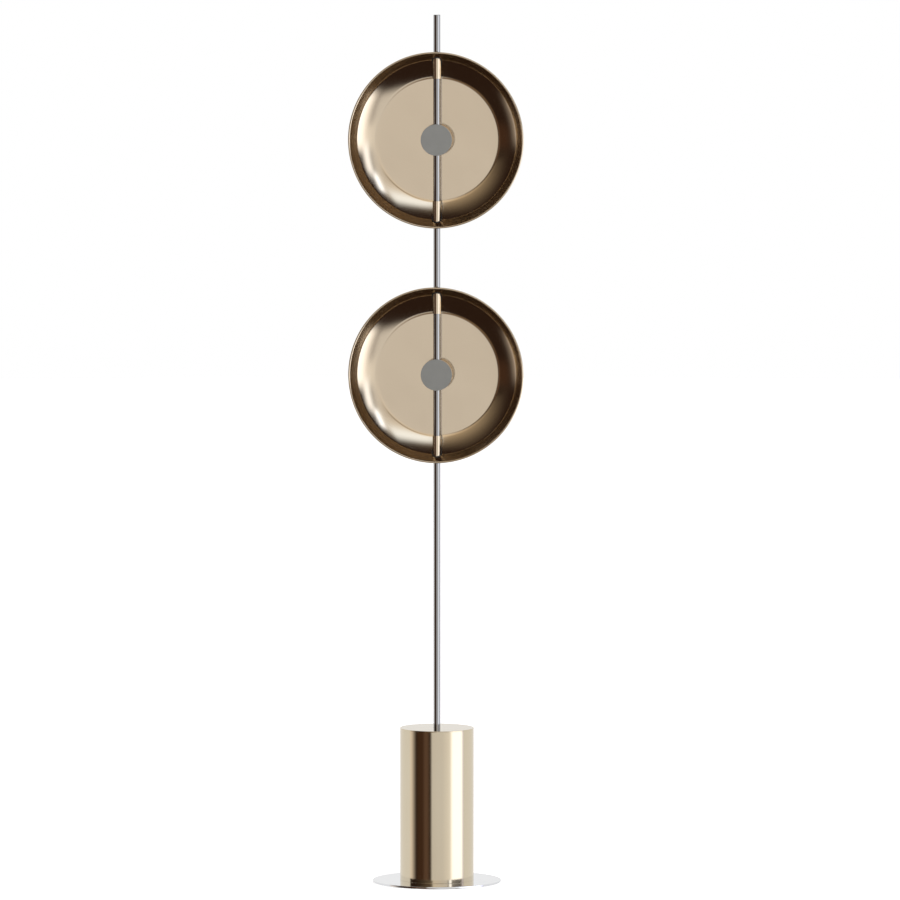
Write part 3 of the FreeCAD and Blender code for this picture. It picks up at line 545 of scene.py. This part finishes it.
bends_in = dish_line(0.0)
bends_out = dish_line(dish_wall)
along_wall = Vector((math.cos(math.radians(wall_deg)), -math.sin(math.radians(wall_deg))))
reach = math.sqrt(bead_r ** 2 - (dish_wall / 2) ** 2)
join_in = end_in - along_wall * reach
join_out = end_in + outward(wall_deg) * dish_wall - along_wall * reach
turn_in = math.degrees(math.atan2(join_in[1] - bead[1], join_in[0] - bead[0]))
turn_out = math.degrees(math.atan2(join_out[1] - bead[1], join_out[0] - bead[0]))
floor_steps = [20, 45, 70, 95, 112]
stud_hole = 4.3
dish_outline = [(stud_hole, floor_in)]
dish_outline += [(r, floor_in) for r in floor_steps]
dish_outline += bends_in
dish_outline += [tuple(Vector(bends_in[-1]).lerp(join_in, step / 8)) for step in range(1, 8)]
dish_outline += arc(*bead, bead_r, turn_in, turn_out - 360, 26)
dish_outline += [tuple(join_out.lerp(Vector(bends_out[-1]), step / 8)) for step in range(1, 8)]
dish_outline += reversed(bends_out)
dish_outline += [(r, floor_in + dish_wall) for r in reversed(floor_steps)]
dish_outline += [(stud_hole, floor_in + dish_wall), (stud_hole, floor_in)]
dish = turn("lower_spun_dish", dish_outline, axis="Y", centre=low_centre, steps=288)
grommet_hole = 8.62
hole_from, hole_to = 0.125, 0.176
for way in (1, -1):
    bore(dish, grommet_hole * mm, (0, 0, low_z + way * hole_from), (0, 0, low_z + way * hole_to))
dishes = {"lower": dish, "upper": copy_up(dish, "upper_spun_dish", lift)}
for head, height in head_heights.items():
    bronze = polished_metal(head + " dish bronze", rgb(224, 208, 184), rgb(221, 205, 181), 0.14, 0.02,
                            420, 3e-7, (0, 0, height), "Y")
    dress(dishes[head], bronze, "dish_bronze", head + "_head", head + "_dish")

# ---------------------------------------------------------------- studio floor
# A plain pale floor that the lamp stands on; it keeps the soft shadow under the foot disc.
# It is kept out of the reflections, and it glows for the camera only, so that it meets the white background.
bpy.ops.object.select_all(action="DESELECT")
bpy.ops.mesh.primitive_circle_add(vertices=96, radius=14.0, fill_type="NGON", location=(0, 0, 0))
studio_floor = bpy.context.object
studio_floor.name = "studio_floor"
studio_floor.visible_glossy = False
floor_paper = bpy.data.materials.new("floor paper")
floor_paper.use_nodes = True
tree = floor_paper.node_tree
tree.nodes.clear()
paper = add(tree, "ShaderNodeBsdfDiffuse")
paper.inputs["Color"].default_value = (0.86, 0.86, 0.86, 1)
glow = add(tree, "ShaderNodeEmission")
seen = add(tree, "ShaderNodeLightPath")
floor_glow = 0.62
level = add(tree, "ShaderNodeMath", operation="MULTIPLY", i1=floor_glow)
both = add(tree, "ShaderNodeAddShader")
out = add(tree, "ShaderNodeOutputMaterial")
tree.links.new(seen.outputs["Is Camera Ray"], level.inputs[0])
tree.links.new(level.outputs[0], glow.inputs["Strength"])
tree.links.new(paper.outputs[0], both.inputs[0])
tree.links.new(glow.outputs[0], both.inputs[1])
tree.links.new(both.outputs[0], out.inputs["Surface"])
studio_floor.data.materials.append(floor_paper)

# ---------------------------------------------------------------- studio round the lamp
# Pale backdrop behind, a tall softbox at the right in front, a mid wall in front and dark drapes at the left.
# The metal mirrors this room, while the camera itself sees plain white behind the lamp.
# Directions are fixed in the room: right and left are as seen from the camera.
view_turn = math.radians(5.83)
room = bpy.data.worlds.new("studio")
bpy.context.scene.world = room
room.use_nodes = True
tree = room.node_tree
tree.nodes.clear()


def calc(operation, first, second=None):
    """One sum on numbers or sockets; gives the result's socket."""
    node = add(tree, "ShaderNodeMath", operation=operation)
    for place, item in enumerate((first, second)):
        if item is None:
            continue
        if isinstance(item, (int, float)):
            node.inputs[place].default_value = item
        else:
            tree.links.new(item, node.inputs[place])
    return node.outputs[0]


def dot(direction, fixed):
    """How far a direction goes along a fixed one."""
    node = add(tree, "ShaderNodeVectorMath", operation="DOT_PRODUCT")
    tree.links.new(direction, node.inputs[0])
    node.inputs[1].default_value = fixed
    return node.outputs["Value"]


def rise(item, low, high):
    """0 below low, 1 above high, smooth between; degrees."""
    node = add(tree, "ShaderNodeMapRange", interpolation_type="SMOOTHSTEP", i1=low, i2=high)
    tree.links.new(item, node.inputs["Value"])
    return node.outputs["Result"]


def within(item, low, high, soft):
    """1 between low and high, with a soft margin of soft degrees on both sides of each edge."""
    outside = calc("SUBTRACT", 1.0, rise(item, high - soft, high + soft))
    return calc("MULTIPLY", rise(item, low - soft, low + soft), outside)


def blend(factor, first, second):
    """Mix of two colours, each a tuple or a socket."""
    node = add(tree, "ShaderNodeMix", data_type="RGBA")
    tree.links.new(factor, node.inputs["Factor"])
    for label, item in (("A", first), ("B", second)):
        if isinstance(item, tuple):
            node.inputs[label].default_value = (*item, 1)
        else:
            tree.links.new(item, node.inputs[label])
    return node.outputs["Result"]


coords = add(tree, "ShaderNodeTexCoord")
way = coords.outputs["Generated"]
front = dot(way, (math.sin(view_turn), -math.cos(view_turn), 0))
side = dot(way, (math.cos(view_turn), math.sin(view_turn), 0))
degrees = 180 / math.pi
bearing = calc("MULTIPLY", calc("ARCTAN2", side, front), degrees)
height_deg = calc("MULTIPLY", calc("ARCSINE", dot(way, (0, 0, 1))), degrees)

# Each card: its bearings, its heights, the softness of its sides and ends, all in degrees, and its colour.
# These numbers weren't chosen by hand: a program fitted most of them to the light that the metal mirrors,
# and some were changed afterwards. It is no example of how to write down a studio.
studio_cards = [
    ("front wall", -17.5, 35.2, -35.4, 40.1, 4.0, 5.7, (0.79, 0.78, 0.775)),
    ("upper left glow", -35.3, 7.1, 11.1, 37.7, 37.8, 20.6, (1.08, 0.89, 0.64)),
    ("dim gap above the camera", -6.0, 22.2, 13.5, 24.4, 11.0, 5.0, (0.40, 0.36, 0.30)),
    ("front wall, lit side", 24.0, 44.0, -13.0, 3.0, 10.0, 5.0, (0.92, 0.90, 0.88)),
    ("lit top edge", -11.5, 29.0, 33.2, 45.4, 3.0, 5.3, (1.29, 1.42, 1.60)),
    ("lamp beside the top edge", 34.2, 39.5, 20.7, 35.4, 3.0, 3.0, (2.6, 2.9, 3.5)),
    ("softbox, dim edge", 39.0, 60.0, -37.0, 3.5, 8.0, 5.7, (1.22, 1.20, 1.20)),
    ("softbox", 47.0, 88.0, -37.0, 3.5, 6.5, 5.7, (1.90, 1.95, 2.10)),
    ("softbox corner", 38.3, 47.0, 0.2, 22.0, 3.5, 5.5, (1.73, 1.82, 2.02)),
    ("softbox far side", 86.0, 92.4, -34.2, 10.7, 6.5, 8.0, (1.37, 1.35, 1.59)),
    ("pale side at the left", -101.0, -82.0, -30.0, -1.0, 17.0, 6.0, (1.25, 1.12, 1.02)),
    ("fold of the drape", -38.9, -2.0, -29.0, -10.9, 8.2, 3.9, (0.20, 0.14, 0.09)),
    ("faint fold of the drape", -66.0, -40.0, -12.0, 2.0, 8.0, 4.0, (0.065, 0.032, 0.018)),
    ("drape over the foot of the wall", -60.0, -13.0, 3.0, 8.0, 4.0, 2.5, (0.03, 0.018, 0.012)),
    ("lit fold of the drape", -42.0, -26.0, -12.0, 4.0, 6.0, 4.0, (0.13, 0.075, 0.05)),
]
shown = (0.028, 0.015, 0.010)
for card, left, right, low, high, soft_sides, soft_ends, colour in studio_cards:
    across = within(bearing, left, right, soft_sides)
    place = calc("MULTIPLY", across, within(height_deg, low, high, soft_ends))
    shown = blend(place, shown, colour)
    shown.node.label = card
behind = calc("ADD", rise(bearing, 90, 96), calc("SUBTRACT", 1.0, rise(bearing, -96, -90)))
shown = blend(behind, shown, (0.9, 0.9, 0.9))
studio_light = add(tree, "ShaderNodeBackground")
tree.links.new(shown, studio_light.inputs["Color"])
white_paper = add(tree, "ShaderNodeBackground")
white_paper.inputs["Color"].default_value = (1, 1, 1, 1)
seen = add(tree, "ShaderNodeLightPath")
choose = add(tree, "ShaderNodeMixShader")
out = add(tree, "ShaderNodeOutputWorld")
tree.links.new(seen.outputs["Is Camera Ray"], choose.inputs["Fac"])
tree.links.new(studio_light.outputs[0], choose.inputs[1])
tree.links.new(white_paper.outputs[0], choose.inputs[2])
tree.links.new(choose.outputs[0], out.inputs["Surface"])

# soft fill for the matt surfaces only: the polished ones show the studio itself
bpy.ops.object.select_all(action="DESELECT")
bpy.ops.object.light_add(type="AREA", location=(2.2, -4.2, 3.6))
fill = bpy.context.object
fill.name = "soft_fill"
fill.data.size = 3.0
fill.data.energy = 190
fill.rotation_mode = "QUATERNION"
fill.rotation_quaternion = (Vector((0, 0, 0.9)) - fill.location).to_track_quat("-Z", "Y")
fill.visible_glossy = False
fill.visible_camera = False

# ---------------------------------------------------------------- camera
# A long lens about 20 m away, a little to the right of the dishes' axis and 2.5 m above the floor.
# The lamp's pole stands a little left of the picture's middle.
bpy.ops.object.camera_add()
camera = bpy.context.object
camera.name = "view_from_front"
bpy.context.scene.camera = camera
distance = 20.0
eye_height = 2.518
look_down = 0.0813
aim_right = 0.0268
pixels_per_mm = 0.4908
frame_width = 900
camera.data.sensor_width = 36
camera.data.lens = pixels_per_mm * distance / mm * 36 / frame_width
camera.data.clip_end = 200
to_right = Vector((math.cos(view_turn), math.sin(view_turn), 0))
camera.location = (distance * math.sin(view_turn), -distance * math.cos(view_turn), eye_height)
aim = Vector((0, 0, eye_height - distance * math.tan(look_down))) + to_right * aim_right
camera.rotation_mode = "QUATERNION"
camera.rotation_quaternion = (aim - camera.location).to_track_quat("-Z", "Y")
bpy.context.scene.view_settings.view_transform = "Standard"
